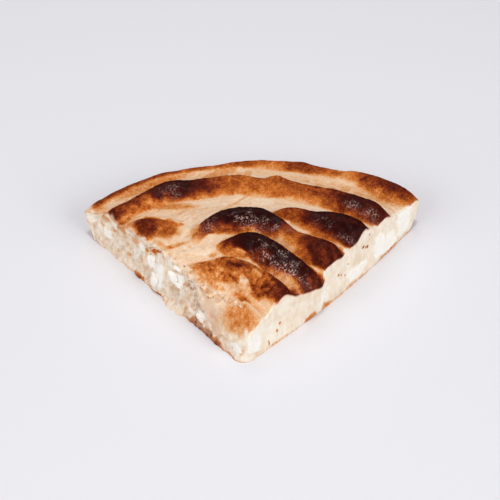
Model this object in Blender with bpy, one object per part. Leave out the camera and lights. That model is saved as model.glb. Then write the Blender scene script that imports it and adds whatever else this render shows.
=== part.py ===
# Slice of a round cheese burek, about a quarter, lying flat on its browned base.
# The pastry is one folded piece: the base, the rim and the ridged top crust.
# The cheese filling runs through it and shows at both cut faces and at the tip.
# The tip points to -Y and the round rim to +Y. Sizes are in millimetres until they reach the mesh.

import bmesh
import bpy
import numpy as np
from mathutils import Matrix, Vector, noise

NAME = "cheese_burek_slice"
MM = 0.001

# The middle of the footprint, which the frame's origin lies on
ORIGIN = np.array([-0.5, -1.2, 0.0])

# The knife met the crust a little off the centre of the round, so this centre isn't the tip
ROUND_CENTRE = np.array([5.6, -83.7])

# Ends of the two cuts, at the base and at the top crust
TIP_LEFT_BASE = np.array([-13.0, -84.0])
TIP_LEFT_TOP = np.array([-11.5, -82.0])
TIP_RIGHT_BASE = np.array([1.0, -83.0])
TIP_RIGHT_TOP = np.array([-1.0, -81.0])
RIM_LEFT_BASE = np.array([-112.0, 24.7])
RIM_LEFT_TOP = np.array([-118.5, 31.0])
RIM_RIGHT_BASE = np.array([111.2, 34.0])
RIM_RIGHT_TOP = np.array([115.5, 39.5])

# How far the rounded tip and the rim bulge from the straight lines between those ends
TIP_BULGE = 3.3
RIM_BULGE_BASE = 45.0
RIM_BULGE_TOP = 49.0

# The left cut leans in towards the top. The right cut bows out, most at the top where a fold sags.
LEFT_LEAN = 4.5
LEFT_LEAN_FROM = (0.15, 0.32)
LEFT_LEAN_TO = (0.85, 1.0)
RIGHT_BOW_BASE = 4.4
RIGHT_BOW_TOP = 2.0
SAG_BOW = 4.0
SAG_AT = 0.33
SAG_SPREAD = 0.055

# Outer radius of the rim about the round's centre, by angle in degrees from +Y towards +X
RIM_WAVES = [(-48, 168.5), (-28, 169.5), (-12, 166.5), (9, 169.0), (17, 167.0), (33, 170.5), (43, 167.0)]

# Height of the crust between its folds, by distance from the round's centre
CRUST_LEVELS = [(0, 24), (15, 27), (30, 30), (45, 33), (60, 35), (80, 36.5), (100, 36), (115, 34),
                (130, 31), (143, 27.5), (153, 26), (162, 24), (168, 21), (173, 18)]

# Beside the tip the top sheet slopes down to the base along the left cut
SLOPE_LOW = 12.0
SLOPE_RISE = 18.0
SLOPE_RUN = 9.0
SLOPE_FULL_TO = 22.0
SLOPE_ENDS_AT = 44.0
SLOPE_WIDTHS = (14.0, 30.0)

# Folds of the crust. A crest is (x, y, height). Widths are of the front slope: start, middle, end.
FOLDS = {
    "rim": {
        "crest": [(-121, 26, 23), (-114, 32, 25), (-106, 39, 26.5), (-94, 48.5, 27), (-67, 65.5, 27),
                  (-38.5, 72.5, 27), (-3, 79.5, 27.5), (19, 79, 27.5), (33.5, 78, 27.5), (47.5, 73, 27.5),
                  (61.5, 68, 28), (76, 64, 29.5), (89.5, 57.5, 30), (102.5, 49, 30), (111, 41.5, 28.5),
                  (117, 35, 25)],
        "widths": (6, 11, 14), "depth": 4.5},
    "outer": {
        "crest": [(-106, 14, 29), (-100, 20, 32), (-85, 28, 35), (-62, 43, 38), (-43, 46, 38),
                  (-12, 51, 38), (6, 47, 38), (16, 50, 38), (25, 45, 38), (39, 40, 38), (59, 33, 39),
                  (79, 22, 40), (87, 16, 38), (93, 11, 34), (98, 5, 29)],
        "widths": (9, 19, 16), "depth": 6.5},
    "left_leaf": {
        "crest": [(-86, 8, 32), (-78, 9.5, 35), (-68, 8.5, 37), (-58, 6.5, 37.5), (-50, 4, 37)],
        "widths": (5, 15, 4), "depth": 4.0},
    "middle": {
        "crest": [(-39, -14, 38), (-37, -7, 40), (-33, -1, 42), (-21, 7, 44), (-8, 10.5, 44), (5, 9, 44),
                  (17, 0, 44), (28, -12, 43), (38, -17, 43), (49, -22, 43), (55, -25, 40.5),
                  (59, -29, 36), (64, -35, 30)],
        "widths": (6, 13, 17), "depth": 8.0},
    "right": {
        "crest": [(12, 9.5, 38), (17, 12, 40), (26, 13, 41.5), (37, 8.5, 43), (54, 4, 45), (64, 0, 45),
                  (72, -5, 43.5), (76, -9, 40), (81, -14, 34)],
        "widths": (5, 14, 20), "depth": 7.5},
    "inner": {
        "crest": [(-22, -19, 37.5), (-18, -16, 39), (-8, -12.5, 42), (2, -13.5, 43), (12, -20, 43),
                  (21, -28, 42), (31, -37, 40), (37, -41, 36), (41, -45, 32), (44, -51, 27),
                  (48, -58, 20)],
        "widths": (4, 17, 20), "depth": 8.5},
    "flaky": {
        "crest": [(-46, -39, 35), (-38, -36, 37), (-28, -33.5, 38), (-19, -31, 38.5), (-6, -35, 38.5),
                  (4, -42, 38.5), (13, -49, 38), (22, -59, 36.5), (28, -66, 32)],
        "widths": (13, 21, 12), "depth": 7.0},
    "tip": {
        "crest": [(-9, -57, 29.5), (-3, -64, 30), (2, -70, 29), (7, -77, 27)],
        "widths": (4, 6, 4), "depth": 4.0},
}
CREST_ROUNDING = 2.5
BACK_SLOPE = 2.0
BLEND = 2.5

# Pastry thicknesses, and the gap that keeps pastry and filling apart
CRUST_THICKNESS = 4.5
BASE_THICKNESS = 2.5
RIM_THICKNESS = 5.0
GAP = 0.3

# The room for the filling reaches past the cuts and the tip, as angles and corners beyond them
CAVITY_LEFT_ANGLE = -53.0
CAVITY_RIGHT_ANGLE = 49.0
CAVITY_TIP_LEFT = np.array([-36.0, -104.0])
CAVITY_TIP_RIGHT = np.array([28.0, -102.0])
RIM_RADIUS_BASE = 158.0
RIM_RADIUS_TOP = 167.0

# Depth and size of the crumbs on the cut faces and of the wrinkles on the crust
CRUMBLE = 1.4
CRUMB_SIZE = 6.0
WRINKLE = 0.7
WRINKLE_SIZE = 9.0

# Rows of faces across the slice, from tip to rim, and up the walls
BLOCK_ROWS = (44, 54, 8)
CAVITY_ROWS = (22, 18, 2)
FLAT = 1e-6

CRUST_COLOUR = (0.42, 0.17, 0.05, 1.0)
FILLING_COLOUR = (0.86, 0.80, 0.66, 1.0)


def smooth_step(low, high, value):
    share = np.clip((value - low) / (high - low), 0.0, 1.0)
    return share * share * (3.0 - 2.0 * share)


def between(start, end, share):
    return start + share[:, None] * (end - start)


def right_of(start, end):
    """Unit vector to the right of the way from start to end."""
    step = (end - start) / np.hypot(*(end - start))
    return np.array([step[1], -step[0]])


def spline(points, per_span=8):
    """A smooth curve through the points, as the rows of an array."""
    knots = np.array(points, dtype=float)
    padded = np.vstack([2 * knots[0] - knots[1], knots, 2 * knots[-1] - knots[-2]])
    rows = []
    for before, start, end, after in zip(padded, padded[1:], padded[2:], padded[3:]):
        slope_out = 0.5 * (end - before)
        slope_in = 0.5 * (after - start)
        for t in np.arange(per_span) / per_span:
            rows.append((2 * t**3 - 3 * t**2 + 1) * start + (t**3 - 2 * t**2 + t) * slope_out
                        + (3 * t**2 - 2 * t**3) * end + (t**3 - t**2) * slope_in)
    rows.append(knots[-1])
    return np.array(rows)


def arc(left, right, bulge, u):
    """Points on the round arc from left to right that bulges by the given height, at the shares u."""
    half = 0.5 * np.hypot(*(right - left).T)
    bulge = np.where(np.abs(bulge) < 0.01, 0.01, bulge)
    radius = (half**2 + bulge**2) / (2 * bulge)
    half_angle = 2 * np.arctan(bulge / half)
    angle = half_angle * (2 * u - 1)
    chord = (right - left) / (2 * half)[:, None]
    across = np.column_stack([-chord[:, 1], chord[:, 0]])
    out = radius * (np.cos(angle) - np.cos(half_angle))
    return 0.5 * (left + right) + (radius * np.sin(angle))[:, None] * chord + out[:, None] * across


def beside(curve, xy):
    """Signed distance to a curve in plan, positive on its right, and the place along it from 0 to 1."""
    starts = curve[:-1, :2]
    steps = curve[1:, :2] - starts
    nearest = np.full(len(xy), np.inf)
    side = np.ones(len(xy))
    place = np.zeros(len(xy))
    for i, (start, step) in enumerate(zip(starts, steps)):
        offset = xy - start
        share = np.clip(offset @ step / (step @ step), 0.0, 1.0)
        distance = np.hypot(*(offset - share[:, None] * step).T)
        turn = step[1] * offset[:, 0] - step[0] * offset[:, 1]
        nearer = distance < nearest
        nearest = np.where(nearer, distance, nearest)
        side = np.where(nearer, np.sign(turn), side)
        place = np.where(nearer, (i + share) / len(steps), place)
    return nearest * side, place


def fold_height(fold, xy):
    """Height of one fold: it drops sharply behind its crest and slopes softly in front of it."""
    curve = spline(fold["crest"])
    across, along = beside(curve, xy)
    crest = np.interp(along, np.linspace(0, 1, len(curve)), curve[:, 2])
    width = np.interp(along, (0, 0.5, 1), fold["widths"])
    front = fold["depth"] * (np.maximum(across, 0) / width) ** 2
    back = BACK_SLOPE * (np.hypot(np.minimum(across, 0), CREST_ROUNDING) - CREST_ROUNDING)
    return crest - front - back


def soft_max(first, second):
    nearness = np.maximum(BLEND - np.abs(first - second), 0.0) / BLEND
    return np.maximum(first, second) + nearness**2 * BLEND / 4


def crust_level(xy):
    """Height of the crust between its folds."""
    radius = np.hypot(*(xy - ROUND_CENTRE).T)
    levels = spline(CRUST_LEVELS)
    return np.interp(radius, levels[:, 0], levels[:, 1])


def slope_beside_tip(xy, height):
    """Lowers a height where the top sheet comes down to the base along the left cut."""
    along_cut = (RIM_LEFT_BASE - TIP_LEFT_BASE) / np.hypot(*(RIM_LEFT_BASE - TIP_LEFT_BASE))
    offset = xy - TIP_LEFT_BASE
    inward = offset @ right_of(TIP_LEFT_BASE, RIM_LEFT_BASE)
    slope = SLOPE_LOW + SLOPE_RISE * (1 - np.exp(-np.maximum(inward, 0) / SLOPE_RUN))
    share = 1 - smooth_step(SLOPE_FULL_TO, SLOPE_ENDS_AT, offset @ along_cut)
    share *= 1 - smooth_step(*SLOPE_WIDTHS, inward)
    return height + share * np.minimum(slope - height, 0)


def top_height(xy):
    height = crust_level(xy)
    for fold in FOLDS.values():
        height = soft_max(height, fold_height(fold, xy))
    return slope_beside_tip(xy, height)


def base_plan(u, v):
    """Outline rows of the base: u runs from the left cut to the right, v from the tip to the rim."""
    left = between(TIP_LEFT_BASE, RIM_LEFT_BASE, v)
    bow = RIGHT_BOW_BASE * np.sin(np.pi * v)
    right = between(TIP_RIGHT_BASE, RIM_RIGHT_BASE, v)
    right = right + bow[:, None] * right_of(TIP_RIGHT_BASE, RIM_RIGHT_BASE)
    return arc(left, right, (RIM_BULGE_BASE + TIP_BULGE) * v - TIP_BULGE, u)


def top_plan(u, v):
    """The same rows at the top crust."""
    lean = LEFT_LEAN * smooth_step(*LEFT_LEAN_FROM, v) * (1 - smooth_step(*LEFT_LEAN_TO, v))
    left = between(TIP_LEFT_TOP, RIM_LEFT_TOP, v)
    left = left + lean[:, None] * right_of(TIP_LEFT_TOP, RIM_LEFT_TOP)
    bow = RIGHT_BOW_TOP * np.sin(np.pi * v) ** 2 + SAG_BOW * np.exp(-(((v - SAG_AT) / SAG_SPREAD) ** 2))
    right = between(TIP_RIGHT_TOP, RIM_RIGHT_TOP, v)
    right = right + bow[:, None] * right_of(TIP_RIGHT_TOP, RIM_RIGHT_TOP)
    return rim_waves(arc(left, right, (RIM_BULGE_TOP + TIP_BULGE) * v - TIP_BULGE, u), v)


def rim_waves(plan, v):
    """Moves the outermost rows in and out, as the rolled edge wanders."""
    offset = plan - ROUND_CENTRE
    radius = np.hypot(*offset.T)
    waves = spline(RIM_WAVES)
    wanted = np.interp(np.degrees(np.arctan2(*offset.T)), waves[:, 0], waves[:, 1])
    change = (wanted - radius) * smooth_step(0.85, 1.0, v)
    return plan + (change / np.maximum(radius, 1.0))[:, None] * offset


def roughness(points, size, seed):
    """Fixed noise of about -1 to 1 at points in millimetres."""
    shift = seed * Vector((17.3, 5.1, 9.7))
    return np.array([noise.noise(Vector(point) / size + shift) for point in points])


def place_block(uvw):
    """The whole slice as one block, with a flat base, crumbling cut faces and a folded top."""
    u, v, w = uvw.T
    low = base_plan(u, v)
    high = top_plan(u, v)
    plan = between(low, high, np.sin(0.5 * np.pi * w))
    points = np.column_stack([plan, w * top_height(high)])
    lid = w == 1
    points[lid, 2] += WRINKLE * roughness(points[lid], WRINKLE_SIZE, 1)
    cut = ((u == 0) | (u == 1) | (v == 0)) & (w > 0) & (w < 1)
    outward = between(-right_of(TIP_LEFT_BASE, RIM_LEFT_BASE), right_of(TIP_RIGHT_BASE, RIM_RIGHT_BASE), u)
    crumbs = CRUMBLE * roughness(points[cut], CRUMB_SIZE, 2)
    points[cut, :2] += crumbs[:, None] * outward[cut]
    return points


def place_cavity(uvw, gap):
    """The room inside the pastry, open at both cuts and at the tip, less a gap on its other sides."""
    u, v, w = uvw.T
    angles = np.radians([CAVITY_LEFT_ANGLE, CAVITY_RIGHT_ANGLE])
    radius = RIM_RADIUS_BASE - RIM_THICKNESS - gap
    corners = ROUND_CENTRE + radius * np.column_stack([np.sin(angles), np.cos(angles)])
    bulge = radius * (1 - np.cos(0.5 * (angles[1] - angles[0])))
    left = between(CAVITY_TIP_LEFT, corners[0], v)
    right = between(CAVITY_TIP_RIGHT, corners[1], v)
    plan = arc(left, right, bulge * v, u)
    flare = (RIM_RADIUS_TOP - RIM_RADIUS_BASE) / radius * v * w
    plan = ROUND_CENTRE + (plan - ROUND_CENTRE) * (1 + flare)[:, None]
    high = slope_beside_tip(plan, crust_level(plan)) - CRUST_THICKNESS - gap
    low = BASE_THICKNESS + gap
    return np.column_stack([plan, low + w * (high - low)])


def cube_in_rows(rows):
    """A unit cube cut into rows of faces along each axis."""
    mesh = bmesh.new()
    bmesh.ops.create_cube(mesh, size=1.0, matrix=Matrix.Translation((0.5, 0.5, 0.5)))
    for axis, count in enumerate(rows):
        normal = Vector.Fill(3)
        normal[axis] = 1.0
        for row in range(1, count):
            everything = mesh.verts[:] + mesh.edges[:] + mesh.faces[:]
            bmesh.ops.bisect_plane(mesh, geom=everything, plane_co=normal * (row / count), plane_no=normal)
    return mesh


def shape(rows, place):
    """A cube in rows whose vertices are moved from (u, v, w) to their places, as mesh data."""
    mesh = cube_in_rows(rows)
    uvw = np.array([vertex.co for vertex in mesh.verts]).round(5)
    for vertex, point in zip(mesh.verts, place(uvw)):
        vertex.co = Vector(point - ORIGIN) * MM
    mesh.normal_update()
    under = [face for face in mesh.faces if face.normal.z < -1 + FLAT]
    bmesh.ops.dissolve_faces(mesh, faces=under)
    bmesh.ops.triangulate(mesh, faces=mesh.faces[:], quad_method="FIXED")
    data = bpy.data.meshes.new(NAME)
    mesh.to_mesh(data)
    mesh.free()
    return data


def collection(name):
    group = bpy.data.collections.new(name)
    bpy.context.scene.collection.children.link(group)
    return group


def add_object(name, data, group):
    item = bpy.data.objects.new(name, data)
    group.objects.link(item)
    return item


def add_cutter(name, gap, group):
    cutter = add_object(name, shape(CAVITY_ROWS, lambda uvw: place_cavity(uvw, gap)), group)
    cutter.hide_render = True
    cutter.display_type = "WIRE"
    return cutter


def cut_with(item, cutter, operation):
    boolean = item.modifiers.new(operation.lower(), "BOOLEAN")
    boolean.object = cutter
    boolean.operation = operation
    boolean.solver = "EXACT"


def finish(item, name, colour, roughness_value):
    material = bpy.data.materials.new(name)
    material.use_nodes = True
    shader = material.node_tree.nodes["Principled BSDF"]
    shader.inputs["Base Color"].default_value = colour
    shader.inputs["Roughness"].default_value = roughness_value
    shader.inputs["Metallic"].default_value = 0.0
    item.data.materials.append(material)


def main():
    for item in list(bpy.data.objects):
        bpy.data.objects.remove(item, do_unlink=True)
    parts = collection(NAME)
    cutters = collection("cutters")
    block = shape(BLOCK_ROWS, place_block)
    pastry = add_object("pastry_shell", block, parts)
    filling = add_object("cheese_filling", block.copy(), parts)
    cut_with(pastry, add_cutter("room_for_filling", 0.0, cutters), "DIFFERENCE")
    cut_with(filling, add_cutter("filling_limits", GAP, cutters), "INTERSECT")
    finish(pastry, "baked_pastry", CRUST_COLOUR, 0.45)
    finish(filling, "white_cheese", FILLING_COLOUR, 0.6)


main()
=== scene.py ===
# Looks of a slice of baked cheese burek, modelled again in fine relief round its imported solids.
import math
from functools import partialmethod

import bmesh
import bpy
import numpy as np
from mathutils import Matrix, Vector, noise


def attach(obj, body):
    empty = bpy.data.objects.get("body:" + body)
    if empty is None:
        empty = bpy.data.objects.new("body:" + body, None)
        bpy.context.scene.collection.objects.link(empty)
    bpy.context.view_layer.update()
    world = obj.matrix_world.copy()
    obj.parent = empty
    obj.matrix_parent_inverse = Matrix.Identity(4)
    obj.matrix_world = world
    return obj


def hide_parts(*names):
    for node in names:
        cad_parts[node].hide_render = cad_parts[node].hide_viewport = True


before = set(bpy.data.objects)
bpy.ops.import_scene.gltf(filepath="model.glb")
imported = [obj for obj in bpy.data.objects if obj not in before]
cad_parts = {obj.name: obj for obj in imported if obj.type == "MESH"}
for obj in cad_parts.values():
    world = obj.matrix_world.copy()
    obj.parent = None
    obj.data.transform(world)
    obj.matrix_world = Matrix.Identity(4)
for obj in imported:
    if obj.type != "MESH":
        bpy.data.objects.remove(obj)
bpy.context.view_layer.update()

MM = 0.001

# The solids' own values, in millimetres. ORIGIN is where the frame's origin lies among them.
ORIGIN = np.array([-0.5, -1.2, 0.0])
ROUND_CENTRE = np.array([5.6, -83.7])
TIP_LEFT_BASE = np.array([-13.0, -84.0])
TIP_LEFT_TOP = np.array([-11.5, -82.0])
TIP_RIGHT_BASE = np.array([1.0, -83.0])
TIP_RIGHT_TOP = np.array([-1.0, -81.0])
RIM_LEFT_BASE = np.array([-112.0, 24.7])
RIM_LEFT_TOP = np.array([-118.5, 31.0])
RIM_RIGHT_BASE = np.array([111.2, 34.0])
RIM_RIGHT_TOP = np.array([115.5, 39.5])
LEFT_CUT = (TIP_LEFT_BASE, RIM_LEFT_BASE)
RIGHT_CUT = (TIP_RIGHT_BASE, RIM_RIGHT_BASE)
TIP_BULGE = 3.3
RIM_BULGE_BASE = 45.0
RIM_BULGE_TOP = 49.0
LEFT_LEAN = 4.5
LEFT_LEAN_FROM = (0.15, 0.32)
LEFT_LEAN_TO = (0.85, 1.0)
RIGHT_BOW_BASE = 4.4
RIGHT_BOW_TOP = 2.0
SAG_BOW = 4.0
SAG_AT = 0.33
SAG_SPREAD = 0.055
# The rolled rim's outer radius, by the direction in degrees from ROUND_CENTRE, and where it wanders
RIM_WAVES = [(-48, 168.5), (-28, 169.5), (-12, 166.5), (9, 169.0), (17, 167.0), (33, 170.5),
             (43, 167.0)]
RIM_WAVES_FROM = 0.85
# Height of the crust between its folds, by distance from ROUND_CENTRE
CRUST_LEVELS = [(0, 24), (15, 27), (30, 30), (45, 33), (60, 35), (80, 36.5), (100, 36), (115, 34),
                (130, 31), (143, 27.5), (153, 26), (162, 24), (168, 21), (173, 18)]
# The slope of the top sheet down to the base, along the left cut beside the tip
SLOPE_LOW = 12.0
SLOPE_RISE = 18.0
SLOPE_RUN = 9.0
SLOPE_FULL_TO = 22.0
SLOPE_ENDS_AT = 44.0
SLOPE_WIDTHS = (14.0, 30.0)
BACK_SLOPE = 2.0
BLEND = 2.5
CRUST_THICKNESS = 4.5
THINNEST_CRUST = 3.0
BASE_THICKNESS = 2.5

# A finer crest than the solids have
CREST_ROUNDING = 1.6

# Folds of the crust. A crest is (x, y, height). Widths are of the front slope: start, middle, end.
# Bake rows are (place along the crest, how brown it is from 0 to 9, how far in front it stays so).
FOLDS = {
    "rim": {
        "crest": [(-121, 26, 23), (-114, 32, 25), (-106, 39, 26.5), (-94, 48.5, 27), (-67, 65.5, 27),
                  (-38.5, 72.5, 27), (-3, 79.5, 27.5), (19, 79, 27.5), (33.5, 78, 27.5), (47.5, 73, 27.5),
                  (61.5, 68, 28), (76, 64, 29.5), (89.5, 57.5, 30), (102.5, 49, 30), (111, 41.5, 28.5),
                  (117, 35, 25)],
        "widths": (6, 11, 14), "depth": 4.5,
        "bake": [(0, 1.0, 4), (0.05, 2.8, 3.5), (0.1, 4.8, 3), (0.15, 6.4, 2.8), (0.25, 6.0, 2.8),
                 (0.3, 5.6, 2.8), (0.35, 4.8, 3.2), (0.4, 5.0, 7), (0.45, 4.2, 9), (0.5, 5.8, 12),
                 (0.55, 5.8, 12), (0.6, 5.8, 10), (0.65, 4.8, 6), (0.7, 3.4, 8), (0.75, 6.2, 10),
                 (0.8, 6.6, 11), (0.85, 6.8, 13), (0.9, 6.6, 13), (0.95, 5.4, 12), (1, 3.0, 8)]},
    "outer": {
        "crest": [(-106, 14, 29), (-100, 20, 32), (-85, 28, 35), (-62, 43, 38), (-43, 46, 38),
                  (-12, 51, 38), (6, 47, 38), (16, 50, 38), (25, 45, 38), (39, 40, 38), (59, 33, 39),
                  (79, 22, 40), (87, 16, 38), (93, 11, 34), (98, 5, 29)],
        "widths": (9, 19, 16), "depth": 6.5,
        "bake": [(0, 2.4, 12), (0.05, 3.0, 10), (0.1, 6.2, 10), (0.15, 6.6, 10.5), (0.2, 8.0, 13),
                 (0.27, 8.8, 13.5), (0.32, 5.8, 15), (0.37, 4.9, 16), (0.45, 4.8, 16), (0.5, 5.1, 16),
                 (0.55, 5.1, 16), (0.6, 5.4, 12), (0.65, 5.2, 13), (0.7, 6.4, 17), (0.75, 8.2, 17),
                 (0.8, 8.0, 16), (0.88, 7.6, 16), (1, 6.0, 14)]},
    "left_leaf": {
        "crest": [(-86, 8, 32), (-78, 9.5, 35), (-68, 8.5, 37), (-58, 6.5, 37.5), (-50, 4, 37)],
        "widths": (5, 15, 4), "depth": 4.0, "start": 2.2, "behind": 1.1,
        "bake": [(0, 2.4, 9), (0.1, 3.6, 9), (0.2, 6.0, 10), (0.3, 7.2, 13), (0.4, 7.0, 18),
                 (0.5, 6.2, 22), (0.6, 5.6, 22), (0.7, 5.0, 21), (0.8, 4.6, 17), (0.9, 4.2, 11),
                 (1, 3.4, 6)]},
    "middle": {
        "crest": [(-39, -14, 38), (-37, -7, 40), (-33, -1, 42), (-21, 7, 44), (-8, 10.5, 44), (5, 9, 44),
                  (17, 0, 44), (28, -12, 43), (38, -17, 43), (49, -22, 43), (55, -25, 40.5),
                  (59, -29, 36), (64, -35, 30)],
        "widths": (6, 13, 17), "depth": 8.0,
        "bake": [(0, 2.2, 6), (0.05, 4.8, 9), (0.1, 5.8, 10), (0.15, 7.0, 10), (0.2, 8.2, 10),
                 (0.25, 9.0, 11.5), (0.35, 9.3, 12), (0.45, 9.5, 12), (0.5, 8.8, 10.5),
                 (0.55, 6.0, 8.5), (0.6, 5.4, 8.5), (0.65, 7.2, 14), (0.7, 8.0, 17), (0.8, 8.4, 20),
                 (1, 8.2, 22)]},
    "right": {
        "crest": [(12, 9.5, 38), (17, 12, 40), (26, 13, 41.5), (37, 8.5, 43), (54, 4, 45), (64, 0, 45),
                  (72, -5, 43.5), (76, -9, 40), (81, -14, 34)],
        "widths": (5, 14, 20), "depth": 7.5,
        "bake": [(0, 5.2, 8), (0.1, 5.4, 11), (0.2, 5.6, 9), (0.25, 5.4, 11), (0.3, 5.2, 11),
                 (0.35, 7.2, 11), (0.4, 8.2, 12), (0.45, 8.9, 13), (0.5, 9.3, 16), (0.55, 9.1, 18.5),
                 (0.6, 9.1, 19), (0.65, 9.0, 19), (0.7, 8.4, 21), (1, 8.2, 24)]},
    "inner": {
        "crest": [(-22, -19, 37.5), (-18, -16, 39), (-8, -12.5, 42), (2, -13.5, 43), (12, -20, 43),
                  (21, -28, 42), (31, -37, 40), (37, -41, 36), (41, -45, 32), (44, -51, 27),
                  (48, -58, 20)],
        "widths": (4, 17, 20), "depth": 8.5,
        "bake": [(0, 4.6, 11), (0.05, 5.8, 13), (0.1, 7.0, 14), (0.15, 8.2, 16), (0.2, 9.0, 17),
                 (0.25, 9.4, 18), (0.35, 9.5, 19), (0.45, 9.4, 18.5), (0.5, 9.2, 16), (0.55, 9.0, 14),
                 (0.6, 8.9, 12), (0.65, 8.4, 13), (0.7, 8.0, 14), (0.75, 7.6, 16), (0.8, 7.4, 16),
                 (1, 7.2, 16)]},
    "flaky": {
        "crest": [(-46, -39, 35), (-38, -36, 37), (-28, -33.5, 38), (-19, -31, 38.5), (-6, -35, 38.5),
                  (4, -42, 38.5), (13, -49, 38), (22, -59, 36.5), (28, -66, 32)],
        "widths": (13, 21, 12), "depth": 7.0,
        "bake": [(0, 1.4, 7), (0.1, 2.8, 12), (0.15, 3.2, 21), (0.2, 3.6, 24), (0.3, 4.6, 25),
                 (0.4, 5.0, 25), (0.5, 5.2, 23), (0.6, 4.8, 20), (0.65, 5.8, 13), (0.7, 6.6, 12),
                 (0.75, 6.8, 11.5), (0.8, 7.0, 10.5), (0.85, 7.2, 10), (1, 7.0, 10)]},
    "tip": {
        "crest": [(-9, -57, 29.5), (-3, -64, 30), (2, -70, 29), (7, -77, 27)],
        "widths": (4, 6, 4), "depth": 4.0,
        "bake": [(0, 5.4, 5), (0.25, 5.2, 5), (0.35, 2.0, 5), (1, 1.2, 5)]},
}
# How far in front of the crest the browning starts
BAKE_START = 0.7
# How far behind the crest it goes
BACK_REACH = 4.5
# Fainter browning round it: share of the level, how far in front and how wide, in reaches
HALO = (0.34, 0.8, 1.1)
# A fold's browning fades where the crust is higher than the fold: by more than this, over this
COVERED = (0.6, 1.6)
# Levels from and to which the crust turns baked, and dark, and the darkest level
BAKED = (1.8, 4.0)
DARK = (5.5, 8.0)
DARKEST = 9.0
# How wide the edge of the crust is where it wanders or is lowered
EDGE_WIDTH = 3.0
# Fold ends over the right cut: place along it from the tip, half length, how far out, how far down, level
DRAPES = [(54.5, 5.5, 1.0, 7.6, 7.8), (46.0, 6.5, 1.4, 5.0, 7.4), (79.0, 5.5, 1.0, 6.0, 8.0),
          (72, 5.0, 1.0, 4.2, 7.6), (95, 6.5, 1.0, 3.4, 7.8), (36, 5.0, 1.0, 2.8, 7.0)]
DRAPE_POWER = 2.4
# Rows over which the crust's edge at the right cut is evened out
EVENED_ROWS = 6
# Glossy patches of the crust with painted highlight speckles: x, y, half length, half width, turn in
# degrees, how glossy from 0 to 1
GLOSS = [(4, -1, 18, 4.2, -22, 1.0), (18, -37, 21, 6.0, -44, 1.0), (-57, 36, 10, 4.5, 18, 0.3),
         (67, 19, 5, 3, -30, 0.6), (80, 10, 7, 5, -42, 0.6), (60, -13, 9, 3, -30, 0.35),
         (46, -2, 8, 4, -15, 0.25), (33, -58, 8, 4, -45, 0.7), (-31, -6, 8, 4, 50, 0.4)]

# Pale dough between the folds, and soft spots: (x, y, half length, half width, turn in degrees, level)
DOUGH_BROWN = 1.1
SPOTS = {
    "dark front of the leaf": (-71, -1, 8, 10, 0, 6.5),
    "front of the leaf": (-58, -3, 8, 9, 0, 5.0),
    "streak under the leaf": (-53, -19, 11, 2.0, 22, 3.3),
    "chip at the left cut": (-65.5, -25.5, 2.6, 1.5, 10, 5.0),
    "patch before the inner fold": (-27, -26, 3.0, 2.0, 35, 4.0),
    "tan dough above the tear": (-24, -50.0, 13, 5.5, -17, 3.4),
    "middle of the flaky fold": (-4, -50.5, 9, 4.5, -20, 4.6),
    "start of the flaky fold's dark end": (9, -52, 7, 4.0, -40, 6.2),
    "brown middle of the flaky fold": (3.0, -56.0, 10, 4.8, -32, 6.5),
    "pink leaf of the flaky fold": (-6, -50.5, 8.0, 2.6, -58, 2.0),
    "brown leaf by the tear": (-9.0, -57.0, 7, 2.4, -38, 4.8),
    "dark streak on the flaky fold": (-12.5, -37.8, 6.5, 1.5, -18, 6.4),
    "golden valley at the right": (62, 46, 40, 8, -24, 1.9),
    "pale valley behind the outer fold": (-21, 67, 30, 5.0, 9, 1.3),
    "browned corner at the left": (-92, 12, 12, 5.0, 30, 3.2),
    "dark left end of the outer fold": (-87, 22.0, 9, 3.0, 22, 5.6),
    "orange front of the middle fold": (-14, -3.6, 17, 4.0, 4, 5.4),
    "pale dough left of the middle fold": (-39, -4, 6, 3.0, 70, 2.4),
    "foot of the inner fold": (-14, -24.0, 11, 4.5, -20, 4.2),
    "dark foot of the inner fold": (3, -27.5, 9, 4.5, -28, 6.6),
    "pink front of the inner fold": (19, -47, 14, 3.0, -38, 2.6),
    "foot of the middle fold": (31, -29, 7, 5, -50, 4.6),
    "foot of the right fold": (46, -11, 11, 3.6, -22, 4.2),
    "dark end of the middle fold": (46, -28, 15, 9, -38, 7.4),
    "dark end of the right fold": (60, -5, 18, 9.5, -27, 8.5),
    "end of the inner fold": (40, -50, 9, 6, -45, 6.8),
    "pink front of the rim": (-73, 53.5, 28, 4.2, 29, 3.5),
    "pink front of the outer fold": (-58, 25, 20, 4.8, -8, 3.2),
    "golden end of the rim": (92, 40, 14, 5.0, -38, 3.8),
    "white lump at the left cut": (-45.5, -41, 4.0, 2.4, 20, 0.0),
    "pale wavy dough": (-43, -25, 15, 6, 12, 1.0),
    "tan edge above the left cut": (-60, -19, 9, 2.6, -48, 2.2),
    "smooth dough beside the tip": (-26, -64, 6, 14, 12, 0.7),
}
# The leaf-shaped fold is evenly browned
CALM = (-66, 0, 20, 16, 0)
# Golden crust near the tip: x, y, half length, half width, turn in degrees, level
GOLDEN_TIP = (-8.5, -71.5, 14.0, 8.0, -40, 3.3)
# Duller patches of dough: x, y, half length, half width, turn in degrees, strength
DULL = [(-28, -63, 6, 15, 14, 0.8), (-40, -50, 6, 5, -45, 0.5), (-88, 4, 12, 4, 35, 0.4)]

# Patch of the crust that came apart in thin leaves: (x, y, half length, half width, turn in degrees)
FLAKY_PATCH = (-17, -45, 33, 15, -16)
# The leaves' size, how far they differ in height and in tone, and the width of their edges
LEAF_SIZE = (9.0, 5.5, 30.0)
LEAF_STEP = 1.1
LEAF_TONES = 1.7
LEAF_EDGE = 0.09

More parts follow.
